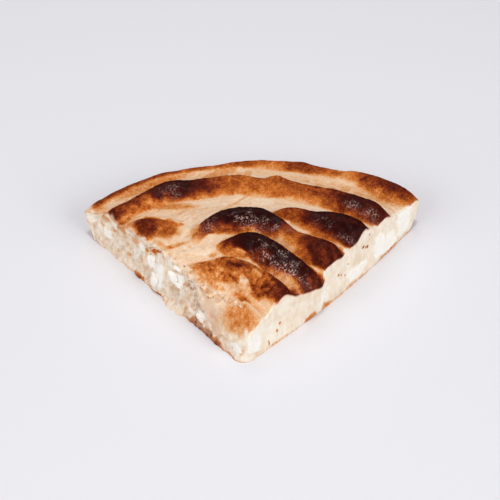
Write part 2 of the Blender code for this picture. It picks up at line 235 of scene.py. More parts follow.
# Thin flakes on the crust: x, y, half length, half width, turn in degrees, level, lift of the edges
FLAKES = [(-31.0, -52.0, 2.4, 1.3, -30, 1.0, 1.2), (-27.5, -54.3, 2.2, 1.1, 10, 0.6, 1.0),
          (-24.0, -54.4, 2.6, 1.3, -20, 0.8, 1.3), (-20.5, -55.2, 2.2, 1.2, 30, 0.5, 1.2),
          (-17.5, -57.2, 2.6, 1.3, -35, 0.6, 1.5), (-14.0, -58.8, 2.0, 1.1, 5, 0.8, 1.1),
          (-11.5, -61.6, 2.4, 1.2, -48, 0.7, 1.3), (-22.5, -57.2, 1.4, 0.8, 40, 1.2, 0.9),
          (-15.5, -61.0, 1.3, 0.8, -10, 1.4, 0.8), (-8.2, -64.0, 1.6, 0.9, -30, 1.0, 0.9)]
FLAKE_RINGS = 6
FLAKE_SIDES = 36
FLAKE_THICKNESS = 0.3

# Crumbs on the crust: x, y, half size, level
CRUMBS = [(-40.5, -41, 0.6, 2.6), (-34.5, -48.6, 0.5, 3.0), (-44.8, -36.4, 0.5, 3.2),
          (-64.4, -23.6, 1.8, 4.6), (-61.6, -24.8, 1.0, 4.2), (-67.8, -20.2, 0.7, 3.8),
          (-29.3, -55.8, 0.5, 2.2), (-13, -63, 0.5, 2.4), (-26, -38, 0.6, 4.6)]
# Lumps of curd on the left cut: place along it from the tip, height, half sizes along, up and out
LUMPS = [(81, 21, 3.8, 5.4, 2.2), (77, 11, 4.0, 5.8, 2.2), (62, 19.5, 2.8, 2.8, 1.6),
         (58.5, 25, 4.2, 3.4, 2.2), (53, 22, 2.6, 2.4, 1.6), (33, 11, 2.6, 2.8, 0.8)]

# Torn edge of the upper sheet near the tip, with the step down to the sheet below
TEAR = [(-34, -45), (-29, -52.5), (-25, -54.5), (-20.5, -55), (-15.5, -58.5), (-10, -62.5), (-5, -64)]
TEAR_STEP = 1.5
TEAR_RUN = 10.0
TEAR_EDGE = 1.1
TEAR_LEVEL = 1.2

# White curds on the cuts: place along the cut from the tip, height, half sizes, how far they stand out
LEFT_CURDS = [(77, 15, 5.0, 11, 1.8), (58.5, 23.5, 5.5, 5.0, 1.8), (60, 33, 3.0, 2.0, 0.6),
              (97, 25, 2.6, 3.4, 0.6), (134, 14, 5.0, 4, 0.6), (34, 11, 4.0, 4, 0.8),
              (0.5, 12, 4.5, 6.5, 0.5)]
RIGHT_CURDS = [(122, 14, 6.5, 9.5, 1.2), (133, 10, 8.0, 6.8, 1.2), (152, 18, 8.5, 13, 0.6),
               (97, 9, 10, 5, 0.5), (60, 16, 5, 9, 0.6), (1, 12, 5.5, 7.5, 0.5)]

# Greyer parts of the left cut, crumbs with painted shade, also at its foot: place, height, half sizes,
# strength
SHADED_CRUMB_ZONES = [(45, 27, 8, 8, 1.5), (38, 16, 8, 9, 1.1), (62, 14, 8, 8, 0.5), (104, 13, 10, 8, 0.5),
              (30, 3, 14, 5.5, 1.5), (92, 8, 9, 6, 0.6), (128, 12, 12, 9, 0.5), (118, 24, 8, 5, 0.6),
              (14, 3, 8, 3, 0.8)]

# Browned marks on the cuts: place along the cut, height, half sizes, level
LEFT_STAINS = [(64, 20, 2.2, 1.4, 3.6), (57, 19, 1.6, 1.2, 3.4), (137, 25, 5, 3.0, 2.4),
               (119, 27, 6, 3.0, 2.6), (104, 27, 5, 2.6, 2.2), (128, 20, 2.0, 1.6, 2.6),
               (92, 26, 1.8, 1.4, 3.6), (84, 30, 2, 1.6, 3.8)]
RIGHT_STAINS = [(104, 25, 1.3, 1.1, 7.0), (107, 23, 0.9, 0.8, 6.0), (109, 22, 1.0, 0.9, 7.0),
                (78, 18, 0.9, 0.8, 5.5), (81, 16, 0.7, 0.7, 5.0), (85, 13, 0.9, 0.7, 5.5),
                (23, 14, 1.0, 1.0, 3.6), (20, 9.5, 0.8, 1.2, 3.6), (12, 4.5, 0.8, 2.0, 3.6),
                (98, 12, 0.7, 0.7, 4.0), (88, 21, 0.7, 0.7, 4.5), (111, 31, 0.9, 0.8, 5.0)]
# Tan patches of the dough on the cuts: level on the left and right, their size, the noise where they show
TAN_LEVELS = (1.7, 0.9)
TAN_SIZE = (9.0, 5.0)
TAN_FROM = (-0.75, 0.6)
# Browned base edge of the cuts: place, half length, level, how far up it shows. The tall dark bands at 21
# and 36 along the left cut are browning with painted contact shade
LEFT_BASE = [(143, 8, 2.6, 1.2), (121, 12, 2.0, 0.8), (98, 5.5, 4.6, 4.2), (78, 9, 6.2, 1.3),
             (60, 9, 0.4, 1.0), (36, 9, 5.8, 6.6), (21, 11, 6.0, 5.0), (4, 9, 5.0, 1.2)]
RIGHT_BASE = [(49, 6, 3.2, 5.2), (64.5, 4.5, 3.2, 4.8), (96, 14, 2.4, 3.0), (135, 14, 2.4, 3.2),
              (20, 14, 1.8, 2.2), (161, 8, 2.4, 2.6), (78, 7, 2.0, 2.2)]
# A pale flap of the bottom sheet: place, half length, how far out
FLAP = (60, 10, 2.8)
# Thin pale folds of the top sheet: points, half width, height, level
CREASED_UP = [([(-8, -61), (-4, -64), (0.5, -69), (6, -76)], 1.3, 1.5, 1.5),
              ([(-20, -46.5), (-9, -52.5), (-3, -59), (1.5, -64.5), (8, -71.5)], 1.6, 0.7, 2.2),
              ([(3, -61.5), (7, -66), (11, -70)], 2.4, 0.3, 1.4),
              ([(-2, -42.5), (2.5, -45), (4.5, -49)], 1.4, 1.0, 2.8),
              ([(-40, -27), (-32, -23), (-24, -20)], 1.6, 0.7, 0.8),
              ([(-52, -27), (-42, -24.5), (-33, -20)], 1.8, 0.7, 0.9)]
# Width of the raw band on top along the left cut: (share of the cut from the tip, width)
RAW_LEFT = [(0, 2.0), (0.2, 1.0), (0.27, 3.5), (0.4, 4.5), (0.46, 2.0), (0.6, 1.2), (0.85, 1.2),
            (0.93, 2.8), (1.0, 11.0)]
# Part of the right cut that bulges: from, full from, full to, to, how far out
LOBE = (33, 42, 60.5, 63.5, 1.6)
# A crease down the right cut: place, half width, depth
CREASE = (63, 0.8, 0.9)

# Relief of the crust: wrinkles, streaks along the folds, bumps, blisters where it is dark
WRINKLES = 0.7
STREAKS = 0.15
SMALL_BUMPS = 0.28
FINE_BUMPS = 0.12
BLISTERS = 0.22
# Levels by which its browning varies: clouds and spots where it is baked, bands and streaks of pale dough
CLOUD_TONES = 1.0
SPOT_TONES = 0.6
BAND_TONES = 0.8
STREAK_TONES = 0.1

# Edges of the crust: how ragged, how far in from each cut and the tip they are lowered, and by how much
RAGGED_EDGE = 1.8
DRAPE_WIDTH = 3.4
LEFT_WIDTH = 3.4
LEFT_DROP = 1.7
RIGHT_DROP = 1.0
TIP_WIDTH = 5.5
TIP_DROP = 2.2
# Near the tip the left edge is wider and lower, up to this share of the way to the rim
NEAR_TIP = (0.16, 0.3)
NEAR_TIP_WIDER = 3.0
NEAR_TIP_LOWER = 3.4
# Width of the raw bands on top at the right cut and the tip
RAW_RIGHT = 1.6
RAW_TIP = 4.2
# Browning that runs in from the rim along the left cut: width, share of the cut where it starts
BLEED_WIDTH = 9.0
BLEED_FROM = (0.6, 0.85)
# Relief of the cuts: broad waves, fibres and crumbs, coarse and fine lumps
CUT_WAVES = 1.2
CUT_GRAIN = 0.35
COARSE_LUMPS = 1.5
FINE_LUMPS = 0.8
# Heights over which the relief of the cuts fades below the crust and above the base
TOP_FADE = 2.0
BASE_FADE = 1.5
# Browning of the underside and of the rim's wall: usual level, how far it wanders, least, most
UNDERSIDE = (4.6, 3.0, 1.0, 8.0)
RIM_WALL = (4.2, 2.4, 1.5, 7.0)
# How deep the browning goes into the cuts, and how much deeper with each level
SKIN_DEPTH = 0.5
SKIN_DEEPER = 0.16
# Level from which a stain covers the dough
STAIN_FULL = 2.5

# Rows of faces across the slice and from tip to rim, and the rows kept where nothing shows
COLUMNS = 320
ROWS = 236
HIDDEN_STEP = 20
HIDDEN_EDGE = 60
HIDDEN_TIP = 8
FILLING_STEP = 10
RIM_ROW = 229
BASE_LEVELS = 2
RIM_LEVELS = 8
CRUST_ROWS = 12
FILLING_LEVELS = 34
FILLING_FEW = (4, 17)
# How closely the crust's rows crowd towards the top
CROWDING = 1.7

# The camera, at the photograph's angle
CAMERA_AT = (-0.0022, -0.48701, 0.49328)
CAMERA_AIM = (-0.0022, 0.0158, 0.0)
FIELD_OF_VIEW = 28.0
# Lamps round the slice: name, place, size, power
LAMPS = [("above", (0.0, -0.1, 1.5), 0.16, 5.4), ("left", (-1.8, -1.45, 1.3), 1.8, 25.0),
         ("right", (1.8, -1.45, 1.3), 1.8, 31.0), ("behind", (-0.3, 1.3, 2.2), 1.4, 11.0)]
WORLD_COLOUR = (0.98, 0.99, 1.0, 1.0)
WORLD_STRENGTH = 0.28

# Colours from 0 to 255: the crust's by share of browning, dough and curds by share of a pattern
CRUST_COLOURS = [(0.0, (247, 234, 214)), (0.11, (238, 204, 172)), (0.22, (228, 174, 126)),
                 (0.33, (214, 138, 74)), (0.44, (196, 108, 44)), (0.56, (160, 78, 28)),
                 (0.67, (124, 50, 20)), (0.78, (88, 28, 13)), (0.89, (58, 15, 9)), (1.0, (38, 8, 7))]
DOUGH_COLOURS = [(0.32, (231, 208, 180)), (0.45, (243, 227, 206)), (0.58, (251, 242, 227))]
CURD_COLOURS = [(0.3, (250, 241, 229)), (0.6, (255, 252, 246))]
# Painted highlight speckles of the glossy patches, crumbs with painted shade in the pits and gaps, and
# the floor
PAINTED_GLINT_COLOUR = (206, 168, 156)
SHADE_AND_CRUMB_COLOUR = (188, 146, 118)
FLOOR_COLOUR = (234, 233, 238)
FLOOR_SIZE = 6.0
# Roughness of pale and of dark crust, how much smoother it is where glossy, and the oil there
ROUGHNESS = (0.55, 0.34)
GLOSS_SMOOTHS = 0.19
COAT = 0.15
COAT_ROUGHNESS = 0.25
SPECULAR = 0.03


def smooth_step(low, high, value):
    """Share from 0 at low to 1 at high, with soft ends."""
    share = np.clip((value - low) / (high - low), 0.0, 1.0)
    return share * share * (3.0 - 2.0 * share)


def fall(low, high, value):
    """Share from 1 at low to 0 at high, with soft ends."""
    return 1 - smooth_step(low, high, value)


def bell(offset, width, power=2):
    """Share that is 1 where the offset is 0 and falls off over the width."""
    return np.exp(-(np.abs(offset / width) ** power))


def between(start, end, share):
    """Points at the given shares of the way from start to end."""
    return start + share[:, None] * (end - start)


def raised(plan, height=0.0):
    """Points in plan at the given height."""
    return np.column_stack([plan, np.broadcast_to(height, len(plan))])


def turned(xy, degrees):
    """Points in plan, turned so that a line at the given angle comes to run along x."""
    angle = math.radians(degrees)
    return np.column_stack([xy[:, 0] * math.cos(angle) + xy[:, 1] * math.sin(angle),
                            xy[:, 1] * math.cos(angle) - xy[:, 0] * math.sin(angle)])


def right_of(start, end):
    """Unit vector to the right of the way from start to end."""
    step = (end - start) / np.hypot(*(end - start))
    return np.array([step[1], -step[0]])


def way_along(xy, start, end):
    """How far along the way from start to end the points are."""
    return (xy - start) @ (end - start) / np.hypot(*(end - start))


def spline(points, per_span=8):
    """A smooth curve through the points, as the rows of an array."""
    knots = np.array(points, dtype=float)
    padded = np.vstack([2 * knots[0] - knots[1], knots, 2 * knots[-1] - knots[-2]])
    rows = []
    for before, start, end, after in zip(padded, padded[1:], padded[2:], padded[3:]):
        slope_out = 0.5 * (end - before)
        slope_in = 0.5 * (after - start)
        for t in np.arange(per_span) / per_span:
            rows.append((2 * t**3 - 3 * t**2 + 1) * start + (t**3 - 2 * t**2 + t) * slope_out
                        + (3 * t**2 - 2 * t**3) * end + (t**3 - t**2) * slope_in)
    rows.append(knots[-1])
    return np.array(rows)


def arc(left, right, bulge, u):
    """Points on the round arc from left to right that bulges by the given height, at the shares u."""
    half = 0.5 * np.hypot(*(right - left).T)
    bulge = np.where(np.abs(bulge) < 0.01, 0.01, bulge)
    radius = (half**2 + bulge**2) / (2 * bulge)
    half_angle = 2 * np.arctan(bulge / half)
    angle = half_angle * (2 * u - 1)
    chord = (right - left) / (2 * half)[:, None]
    across = np.column_stack([-chord[:, 1], chord[:, 0]])
    out = radius * (np.cos(angle) - np.cos(half_angle))
    return 0.5 * (left + right) + (radius * np.sin(angle))[:, None] * chord + out[:, None] * across


def beside(curve, xy):
    """Signed distance to a curve in plan, positive on its right, and the place along it from 0 to 1."""
    starts = curve[:-1, :2]
    steps = curve[1:, :2] - starts
    nearest = np.full(len(xy), np.inf)
    side = np.ones(len(xy))
    place = np.zeros(len(xy))
    for i, (start, step) in enumerate(zip(starts, steps)):
        offset = xy - start
        share = np.clip(offset @ step / (step @ step), 0.0, 1.0)
        distance = np.hypot(*(offset - share[:, None] * step).T)
        turn = step[1] * offset[:, 0] - step[0] * offset[:, 1]
        nearer = distance < nearest
        nearest = np.where(nearer, distance, nearest)
        side = np.where(nearer, np.sign(turn), side)
        place = np.where(nearer, (i + share) / len(steps), place)
    return nearest * side, place


def sampled(points, size, seed, function=noise.noise):
    """Fixed noise at points in millimetres, over the given size."""
    shift = seed * Vector((17.3, 5.1, 9.7))
    return np.array([function(Vector(point) + shift) for point in points / np.asarray(size)])


def cells(points, size, seed):
    """Distance to the nearest of scattered centres, in units of their spacing."""
    return sampled(points, size, seed, lambda point: noise.voronoi(point)[0][0])


def soft_max(first, second):
    """The greater of two heights, rounded where they meet."""
    nearness = np.maximum(BLEND - np.abs(first - second), 0.0) / BLEND
    return np.maximum(first, second) + nearness**2 * BLEND / 4


def crust_level(xy):
    """Height of the crust between its folds."""
    radius = np.hypot(*(xy - ROUND_CENTRE).T)
    levels = spline(CRUST_LEVELS)
    return np.interp(radius, levels[:, 0], levels[:, 1])


def slope_beside_tip(xy, height):
    """Lowers a height where the top sheet comes down to the base along the left cut."""
    inward = (xy - TIP_LEFT_BASE) @ right_of(*LEFT_CUT)
    slope = SLOPE_LOW + SLOPE_RISE * (1 - np.exp(-np.maximum(inward, 0) / SLOPE_RUN))
    share = fall(SLOPE_FULL_TO, SLOPE_ENDS_AT, way_along(xy, *LEFT_CUT))
    share *= fall(*SLOPE_WIDTHS, inward)
    return height + share * np.minimum(slope - height, 0)


def bowed(start, end, v, bow):
    """Rows of an edge from start to end that bows to its right."""
    return between(start, end, v) + bow[:, None] * right_of(start, end)


def base_plan(u, v):
    """Outline rows of the base: u runs from the left cut to the right, v from the tip to the rim."""
    left = between(*LEFT_CUT, v)
    right = bowed(*RIGHT_CUT, v, RIGHT_BOW_BASE * np.sin(np.pi * v))
    return arc(left, right, (RIM_BULGE_BASE + TIP_BULGE) * v - TIP_BULGE, u)


def top_plan(u, v):
    """The same rows at the top crust."""
    lean = LEFT_LEAN * smooth_step(*LEFT_LEAN_FROM, v) * fall(*LEFT_LEAN_TO, v)
    bow = RIGHT_BOW_TOP * np.sin(np.pi * v) ** 2 + SAG_BOW * bell(v - SAG_AT, SAG_SPREAD)
    left = bowed(TIP_LEFT_TOP, RIM_LEFT_TOP, v, lean)
    right = bowed(TIP_RIGHT_TOP, RIM_RIGHT_TOP, v, bow)
    return rim_waves(arc(left, right, (RIM_BULGE_TOP + TIP_BULGE) * v - TIP_BULGE, u), v)


def rim_waves(plan, v):
    """Moves the outermost rows in and out, as the rolled edge wanders."""
    offset = plan - ROUND_CENTRE
    radius = np.hypot(*offset.T)
    waves = spline(RIM_WAVES)
    wanted = np.interp(np.degrees(np.arctan2(*offset.T)), waves[:, 0], waves[:, 1])
    change = (wanted - radius) * smooth_step(RIM_WAVES_FROM, 1.0, v)
    return plan + (change / np.maximum(radius, 1.0))[:, None] * offset


class Crust:
    """Height and browning of the top crust at points in plan, worked out once for the whole grid."""

    def __init__(self, xy):
        self.xy = xy
        self.height = crust_level(xy)
        self.brown = np.full(len(xy), DOUGH_BROWN)
        self.uneven = 1 + 0.3 * sampled(raised(xy), 7.0, 16)
        folds = [self.fold(fold) for fold in FOLDS.values()]
        for height, _, _, _ in folds:
            self.height = soft_max(self.height, height)
        self.along = self.across = np.zeros(len(xy))
        highest = np.full(len(xy), -np.inf)
        covered_by, over = COVERED
        for height, brown, across, along in folds:
            shows = bell(np.maximum(self.height - height - covered_by, 0), over)
            self.brown = np.maximum(self.brown, self.brown + shows * (brown - self.brown))
            tops = height > highest
            highest = np.where(tops, height, highest)
            self.along = np.where(tops, along, self.along)
            self.across = np.where(tops, across, self.across)
        self.spots()
        self.detail()

    def fold(self, fold):
        """One fold's height, browning, distance in front of its crest and length along it."""
        curve = spline(fold["crest"])
        across, place = beside(curve, self.xy)
        crest = np.interp(place, np.linspace(0, 1, len(curve)), curve[:, 2])
        width = np.interp(place, (0, 0.5, 1), fold["widths"])
        front = fold["depth"] * (np.maximum(across, 0) / width) ** 2
        back = BACK_SLOPE * (np.hypot(np.minimum(across, 0), CREST_ROUNDING) - CREST_ROUNDING)
        places, levels, reaches = np.array(fold["bake"], dtype=float).T
        level = np.interp(place, places, levels)
        reach = np.interp(place, places, reaches) * self.uneven
        baked = across - fold.get("start", BAKE_START)
        behind = fold.get("behind", BACK_REACH)
        brown = level / (1 + (np.maximum(baked, 0) / reach) ** 4 + (np.minimum(baked, 0) / behind) ** 4)
        strength, at, spread = HALO
        halo = strength * level * bell(baked - at * reach, spread * reach) * (baked > 0)
        length = place * np.hypot(*np.diff(curve[:, :2], axis=0).T).sum()
        return crest - front - back, np.maximum(brown, halo), across, length

    def inside(self, oval, ragged=0.0):
        """Soft share of an oval given by x, y, half length, half width and turn in degrees."""
        x, y, half_length, half_width, turn = oval
        reach = turned(self.xy - (x, y), turn) / (half_length, half_width)
        return bell((reach**2).sum(axis=1) * np.exp(ragged), 1.0)

    def spot(self, oval, mottled=0.0):
        """Browns the crust to the oval's level, with ragged edges."""
        share = self.inside(oval[:5], 0.4 * mottled)
        self.brown += share * (oval[5] + mottled - self.brown)

    def spots(self):
        """Browns or pales the crust in all the named spots."""
        mottled = 1.2 * sampled(raised(self.xy, self.height), 4.0, 18)
        for oval in SPOTS.values():
            self.spot(oval, mottled)

    def strongest(self, ovals, ragged):
        """The greatest of the ovals' strengths."""
        return np.maximum.reduce([oval[5] * self.inside(oval[:5], ragged) for oval in ovals])

    def detail(self):
        """Fine relief and browning: wrinkles, streaks, blisters, leaves, the torn step, gloss."""
        flat = raised(self.xy, self.height)
        folded = raised(np.column_stack([self.along, self.across]))
        dark = smooth_step(*DARK, self.brown)
        baked = smooth_step(*BAKED, self.brown)
        streaks = sampled(folded, (16.0, 1.7, 1.0), 5)
        broad = sampled(folded, (26.0, 3.4, 1.0), 15)
        small = sampled(flat, 3.2, 6)
        fine = sampled(flat, 2.2, 14)
        self.height = self.height + WRINKLES * sampled(flat, 9.0, 1)
        self.height += STREAKS * streaks + SMALL_BUMPS * small + FINE_BUMPS * fine
        bubbles = np.maximum(1 - (cells(flat, 3.4, 7) / 0.5) ** 2, 0)
        self.height += BLISTERS * bubbles * (0.15 + 0.85 * dark)
        middle = baked * (1 - 0.75 * smooth_step(6.5, 8.5, self.brown)) * (1 - 0.8 * self.inside(CALM))
        self.brown += middle * (CLOUD_TONES * sampled(flat, 7.0, 17) + SPOT_TONES * (small + fine))
        self.brown += (1 - baked) * (BAND_TONES * broad + STREAK_TONES * streaks)
        self.leaves(flat, small, fine)
        self.tear(flat)
        self.height = slope_beside_tip(self.xy, self.height)
        beside_tip = np.clip((flat[:, 2] - self.height) / 3.0 - 0.6, 0, 1)
        self.brown += beside_tip * (np.minimum(self.brown, 0.6) - self.brown)
        self.spot(GOLDEN_TIP, 1.3 * small + 1.2 * fine)
        for points, half_width, height, level in CREASED_UP:
            across, place = beside(spline(points), self.xy)
            share = bell(across, half_width) * smooth_step(0.0, 0.15, np.minimum(place, 1 - place))
            self.height += height * share
            self.brown += share * (level - self.brown)
        self.brown = np.clip(self.brown, 0.0, DARKEST)
        ragged = 1.2 * sampled(flat, 3.0, 20)
        self.gloss = self.strongest(GLOSS, ragged)
        self.dull = self.strongest(DULL, ragged)

    def leaves(self, flat, small, fine):
        """Thin leaves with ragged edges where the crust came apart, each with its own height and tone."""
        share = self.inside(FLAKY_PATCH)
        warped = self.xy + np.column_stack([2.6 * small + 1.4 * fine, 2.6 * sampled(flat, 3.2, 30)])
        places = raised(turned(warped, FLAKY_PATCH[4])) / LEAF_SIZE
        leaves = [noise.voronoi(Vector(place)) for place in places]
        gap = np.array([distances[1] - distances[0] for distances, _ in leaves])
        tone, lift = (np.array([noise.cell(shift * centres[0]) for _, centres in leaves])
                      for shift in (41.3, 23.7))
        edge = bell(gap, LEAF_EDGE)
        self.height += share * (LEAF_STEP * (lift - 0.5) - 0.5 * edge + 0.4 * lift * np.minimum(gap, 0.5))
        baked = smooth_step(1.0, 3.0, self.brown)
        mottled = LEAF_TONES * (tone - 0.2) + 0.9 * small + 0.6 * fine - 1.0 * edge * tone
        self.brown += share * baked * mottled

    def tear(self, flat):
        """The torn edge of the upper sheet, with the step down to the sheet below."""
        across, place = beside(spline(TEAR), self.xy)
        ragged = across + 1.6 * sampled(flat, 2.6, 8)
        above = fall(-0.5, 0.5, ragged)
        step = TEAR_STEP * above * bell(np.minimum(across, 0), TEAR_RUN)
        ends = smooth_step(0.0, 0.12, place) * fall(0.88, 1.0, place)
        self.height += step * ends
        edge = bell(np.minimum(ragged + 1.2, 0), TEAR_EDGE) * fall(0.0, 0.8, ragged)
        self.brown += edge * ends * (TEAR_LEVEL - self.brown)


def column_at(i, j):
    """Number of the lattice's upright column at i, j."""
    return j * (COLUMNS + 1) + i


def drapes(plan):
    """Share of each fold end that hangs over the right cut, how far out, how far down, its level."""
    along = way_along(plan, *RIGHT_CUT)
    for place, half_length, out, down, level in DRAPES:
        yield bell(along - place, half_length, DRAPE_POWER), out, down, level


class Slice:
    """The slice's lattice: columns i from left cut to right, rows j from tip to rim."""

    def __init__(self):
        i, j = np.meshgrid(np.arange(COLUMNS + 1), np.arange(ROWS + 1))
        u = i.ravel() / COLUMNS
        v = j.ravel() / ROWS
        self.low = self.wandering(base_plan(u, v), 51)
        self.high = self.wandering(top_plan(u, v), 53, True)
        self.crust = Crust(self.high)
        self.fray()
        self.seam = np.minimum(self.under_crust(self.high), self.crust.height - THINNEST_CRUST)

    def wandering(self, plan, seed, on_top=False):
        """Moves the cut edges of a plan in and out, and out where fold ends hang over."""
        rows = plan.reshape(ROWS + 1, COLUMNS + 1, 2).copy()
        sides = ((0, -right_of(*LEFT_CUT), 1.0), (COLUMNS, right_of(*RIGHT_CUT), 0.3))
        for column, way, strength in sides:
            edge = rows[:, column].copy()
            flat = raised(edge)
            push = strength * (1.1 * sampled(flat, 6.0, seed) + 0.6 * sampled(flat, 2.0, seed + 1))
            if column and on_top:
                start, full, ends, end, out = LOBE
                along = way_along(edge, *RIGHT_CUT)
                push += out * smooth_step(start, full, along) * fall(ends, end, along)
                push += np.maximum.reduce([out * share for share, out, _, _ in drapes(edge)])
            gap = np.hypot(*(rows - edge[:, None]).T).T
            rows += (push[:, None] * bell(gap, EDGE_WIDTH))[..., None] * way
        return rows.reshape(-1, 2)

    def fray(self):
        """Lets the crust fall off towards the cuts and the tip, where it is raw dough."""
        crust = self.crust
        rows = self.high.reshape(ROWS + 1, COLUMNS + 1, 2)
        left, right, tip = (np.hypot(*(rows - edge).T).T.ravel()
                            for edge in (rows[:, :1], rows[:, -1:], rows[:1]))
        flat = raised(self.high)
        v = np.repeat(np.arange(ROWS + 1) / ROWS, COLUMNS + 1)
        ragged = RAGGED_EDGE * (sampled(flat, 6.0, 41) + sampled(flat, 2.4, 42))
        hanging = list(drapes(self.high))
        drop = np.maximum.reduce([down * share for share, _, down, _ in hanging])
        crust.height -= drop * bell(right, DRAPE_WIDTH)
        for share, _, _, level in hanging:
            share = share * bell(right, 6.0, 4)
            brown = share * (level + 0.8 * sampled(flat, 4.0, 47))
            crust.brown = np.maximum(crust.brown, brown)
        pale = fall(2.2, 4.5, crust.brown)
        self.lower_edges(flat, v, left, right, tip + ragged, pale)
        self.bare_edges(flat, v, left, right, tip, ragged, pale)

    def lower_edges(self, flat, v, left, right, tip, pale):
        """Lowers the crust near the cuts and the tip, from its distances to them."""
        crust = self.crust
        near_tip = fall(*NEAR_TIP, v)
        edge = bell(left, LEFT_WIDTH + NEAR_TIP_WIDER * near_tip)
        drop = LEFT_DROP + NEAR_TIP_LOWER * near_tip
        crust.height -= drop * edge * (0.7 + sampled(flat, 5.0, 40))
        crust.height += 0.9 * edge * sampled(flat, 2.6, 44)
        crust.height -= RIGHT_DROP * bell(right, EDGE_WIDTH) * pale
        crust.height -= TIP_DROP * bell(np.maximum(tip, 0), TIP_WIDTH)
        crust.height += self.evening() * bell(right, EDGE_WIDTH)

    def bare_edges(self, flat, v, left, right, tip, ragged, pale):
        """Raw, pitted or browned bands on top along the cuts, from the crust's distances to them."""
        crust = self.crust
        raw_left = fall(-1.6, 1.6, left + ragged - np.interp(v, *zip(*RAW_LEFT)))
        crumbs = 0.9 + 2.4 * sampled(flat, 3.0, 48)
        crust.brown += 0.85 * raw_left * (crumbs - crust.brown)
        raw_right = fall(-1.1, 1.1, right + 1.2 * sampled(flat, 9.0, 45) - RAW_RIGHT)
        raw_tip = fall(-1.5, 1.5, tip + 1.6 * ragged - RAW_TIP)
        self.raw = np.maximum.reduce([0.4 * raw_left, raw_right * pale, raw_tip])
        # Painted shade in the pits of the raw band along the left cut, and the duller patches
        self.pit_shade_and_dull = np.maximum(raw_left * smooth_step(0.05, 0.5, sampled(flat, 3.0, 43)), crust.dull)
        bleed = bell(left, BLEED_WIDTH) * smooth_step(*BLEED_FROM, v)
        crust.brown += bleed * (1.6 + 2.0 * sampled(flat, 4.0, 46))
        crust.brown = np.clip(crust.brown, 0, DARKEST)

    def evening(self):
        """How much the crust rises or falls, row by row, to run evenly along the right cut."""
        edge = self.crust.height.reshape(ROWS + 1, COLUMNS + 1)[:, -1]
        reach = 2 * EVENED_ROWS
        weights = bell(np.arange(-reach, reach + 1), EVENED_ROWS)
        evened = np.convolve(np.pad(edge, reach, mode="edge"), weights / weights.sum(), "valid")
        return np.repeat(evened - edge, COLUMNS + 1)

    def under_crust(self, plan):
        """Height of the crust's underside, where the filling starts."""
        level = slope_beside_tip(plan, crust_level(plan)) - CRUST_THICKNESS
        return level + 1.2 * sampled(raised(plan, level), 11.0, 11)

    def place(self, i, j, height):
        """Points on the columns i, j at the given heights, with the relief of the cut faces."""
        column = column_at(i, j)
        top = self.crust.height[column]
        w = height / top
        plan = between(self.low[column], self.high[column], np.sin(0.5 * np.pi * np.clip(w, 0, 1)))
        points = raised(plan, height)
        u = i / COLUMNS
        cut = ((i == 0) | (i == COLUMNS) | (j == 0)) & (w < 1)
        outward = between(-right_of(*LEFT_CUT), right_of(*RIGHT_CUT), u)
        fade = np.minimum(1, (top[cut] - height[cut]) / TOP_FADE) * np.minimum(1, height[cut] / BASE_FADE)
        relief = cut_relief(points[cut], u[cut]) * fade + flap(points[cut], u[cut])
        points[cut, :2] += relief[:, None] * outward[cut]
        rim = (j == ROWS) & (w > 0) & (w < 1)
        away = points[rim, :2] - ROUND_CENTRE
        away /= np.hypot(*away.T)[:, None]
        points[rim, :2] += (0.6 * sampled(points[rim], (9.0, 9.0, 2.2), 12))[:, None] * away
        return points


def along_cut(points, u):
    """Place along the nearer cut from the tip."""
    return np.where(u < 0.5, way_along(points[:, :2], *LEFT_CUT), way_along(points[:, :2], *RIGHT_CUT))


def on_face(points, u):
    """Cut points laid flat, for patterns that run down the face."""
    return np.column_stack([along_cut(points, u), points[:, 2], 40 * u])


def face_noise(points, u, length, height, seed):
    """Fixed noise over the cut faces, in lumps of the given length and height."""
    return sampled(on_face(points, u), (length, height, 9.0), seed)


def both_cuts(u, left, right):
    """The rows of both cuts, each with the points that it concerns."""
    for rows, side in ((left, u < 0.5), (right, u >= 0.5)):
        for row in rows:
            yield row, side


def patches(points, u, left, right, edge):
    """For each oval patch on the cuts, how far inside it the points are, with its own last value."""
    along = along_cut(points, u)
    wobble = 0.35 * sampled(points, 3.0, 21)
    for (place, height, half_length, half_height, value), side in both_cuts(u, left, right):
        across = np.abs((along - place) / half_length) ** 3
        reach = (across + np.abs((points[:, 2] - height) / half_height) ** 3) ** (1 / 3) + wobble
        yield fall(1 - edge, 1 + edge, reach) * side, value


def curd_share(points, u):
    """How much of a white curd each point of the cut faces is, and how far the curds stand out."""
    share = np.zeros(len(points))
    proud = np.zeros(len(points))
    for inside, stands in patches(points, u, LEFT_CURDS, RIGHT_CURDS, 0.12):
        share = np.maximum(share, inside)
        proud = np.maximum(proud, stands * inside)
    return share, proud


def lumps(points, u):
    """Distance to the middle of the nearest crumbled lump of the left cut, coarse and fine."""
    flat = on_face(points, u)
    return cells(flat, (6.0, 7.5, 9.0), 33), cells(flat, (3.0, 3.6, 9.0), 34)


def cut_gap_shade(points, u):
    """Painted shade in the gaps between lumps and the small holes of the left cut: how dark they are."""
    coarse, fine = lumps(points, u)
    creases = np.maximum(smooth_step(0.62, 0.9, coarse), 0.7 * smooth_step(0.6, 0.9, fine))
    holes = smooth_step(0.2, 0.55, face_noise(points, u, 3.4, 5.5, 9))
    return 0.75 * np.maximum(creases, holes) * fall(0.3, 0.8, u)


def shaded_crumb_zone(points, u):
    """Share of the greyer parts of the left cut: crumbs with painted shade."""
    along = along_cut(points, u)
    share = np.zeros(len(points))
    for place, height, half_length, half_height, strength in SHADED_CRUMB_ZONES:
        reach = ((along - place) / half_length) ** 2 + ((points[:, 2] - height) / half_height) ** 2
        share = np.maximum(share, strength * bell(reach, 1.0))
    grains = np.clip(0.7 + 1.7 * sampled(points, 2.2, 29), 0.1, 1.4)
    return share * fall(0.3, 0.7, u) * grains


